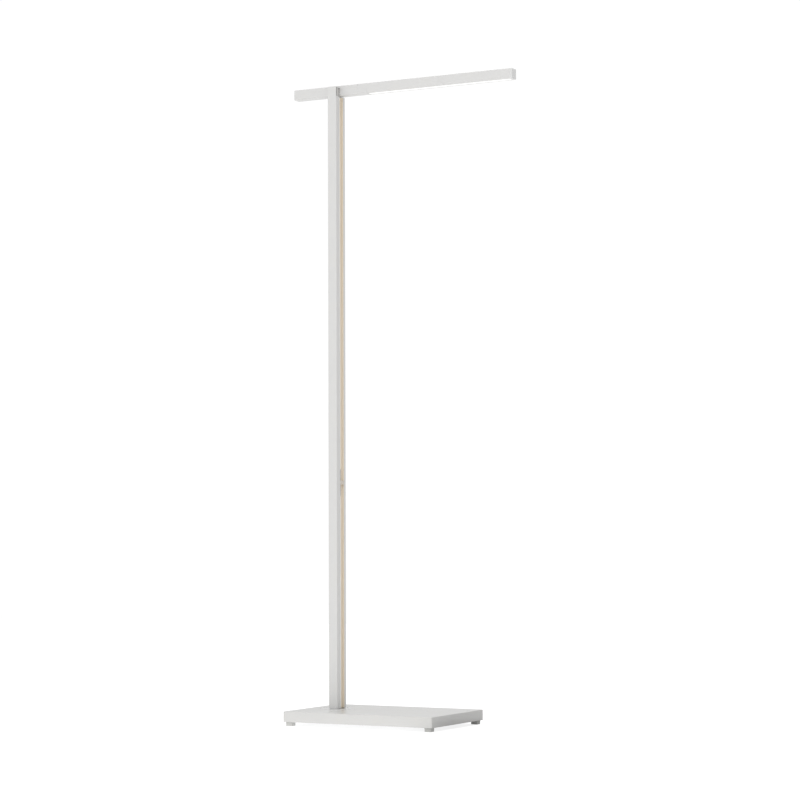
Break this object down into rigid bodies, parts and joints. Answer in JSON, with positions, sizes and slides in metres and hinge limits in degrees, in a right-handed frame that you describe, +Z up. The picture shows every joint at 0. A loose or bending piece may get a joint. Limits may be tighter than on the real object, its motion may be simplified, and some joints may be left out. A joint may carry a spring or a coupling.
{
  "type": "floor lamp",
  "caption": "Slim floor lamp: a square-section light bar tilts at the top of a flat stem with a bronze-lined channel, which turns on a low rectangular foot.",
  "frame": {"origin": "on the floor, below the middle of the whole lamp's length and depth", "axes": "+X along the arm towards its lit end, +Y from the front of the lamp to its back, +Z up"},
  "size_m": [0.503, 0.2224, 1.303],
  "materials": {
    "white_steel": "satin white powder coat",
    "white_aluminium": "satin white powder coat",
    "bronze_strip": "satin bronze anodised",
    "foot_plastic": "moulded, fine texture",
    "zinc_steel": "zinc plated",
    "weight_steel": "rolled, oiled",
    "ground_steel": "ground",
    "bearing_bronze": "sintered",
    "slip_plastic": "smooth",
    "mill_aluminium": "mill",
    "gland_rubber": "matt",
    "lead_plastic": "soft sheath",
    "dimmer_plastic": "moulded",
    "knob_plastic": "satin moulded",
    "lens_opal": "opal satin",
    "board_white": "white solder mask",
    "chip_phosphor": "phosphor gel"
  },
  "bodies": {
    "base": {"base_cover": "white_steel", "bottom_plate": "zinc_steel", "base_weight": "weight_steel", "foot_front_left": "foot_plastic", "foot_front_right": "foot_plastic", "foot_back_left": "foot_plastic", "foot_back_right": "foot_plastic", "foot_screws": "zinc_steel", "plate_screws": "zinc_steel", "cable_gland": "gland_rubber", "base_lead": "lead_plastic", "thrust_washer": "slip_plastic", "swivel_bush": "bearing_bronze"},
    "stem": {"stem_extrusion": "white_aluminium", "stem_foot_plug": "mill_aluminium", "stem_screws": "zinc_steel", "swivel_disc": "white_aluminium", "swivel_spindle": "ground_steel", "spindle_washer": "zinc_steel", "spindle_nut": "zinc_steel", "channel_trim": "white_aluminium", "channel_strip": "bronze_strip", "dimmer_pot": "dimmer_plastic", "stem_lead": "lead_plastic", "hinge_bracket": "ground_steel", "bracket_screws": "zinc_steel", "head_cap": "white_aluminium", "cap_screws": "zinc_steel"},
    "arm": {"arm_carrier": "white_aluminium", "arm_back_cap": "white_aluminium", "pivot_block": "mill_aluminium", "hinge_pin": "ground_steel", "pin_clip": "zinc_steel", "friction_washer": "bearing_bronze", "pivot_screw": "zinc_steel", "splice_bar": "mill_aluminium", "splice_screws": "zinc_steel", "led_housing": "white_aluminium", "heat_spreader": "mill_aluminium", "led_board": "board_white", "led_chips": "chip_phosphor", "led_diffuser": "lens_opal", "arm_front_cap": "white_aluminium"},
    "dimmer": {"dimmer_slider": "knob_plastic"}
  },
  "joints": [
    {"name": "stem_swivel", "type": "hinge", "parent": "base", "child": "stem", "pos_m": [-0.1515, 0.00825, 0.029], "axis": [0, 0, 1], "range_deg": [-170, 170]},
    {"name": "arm_tilt", "type": "hinge", "parent": "stem", "child": "arm", "pos_m": [-0.1515, 0.01575, 1.2925], "axis": [0, -1, 0], "range_deg": [-8, 8]},
    {"name": "dimmer_slide", "type": "slide", "parent": "stem", "child": "dimmer", "axis": [0, 0, 1], "range_m": [-0.025, 0.025]}
  ]
}
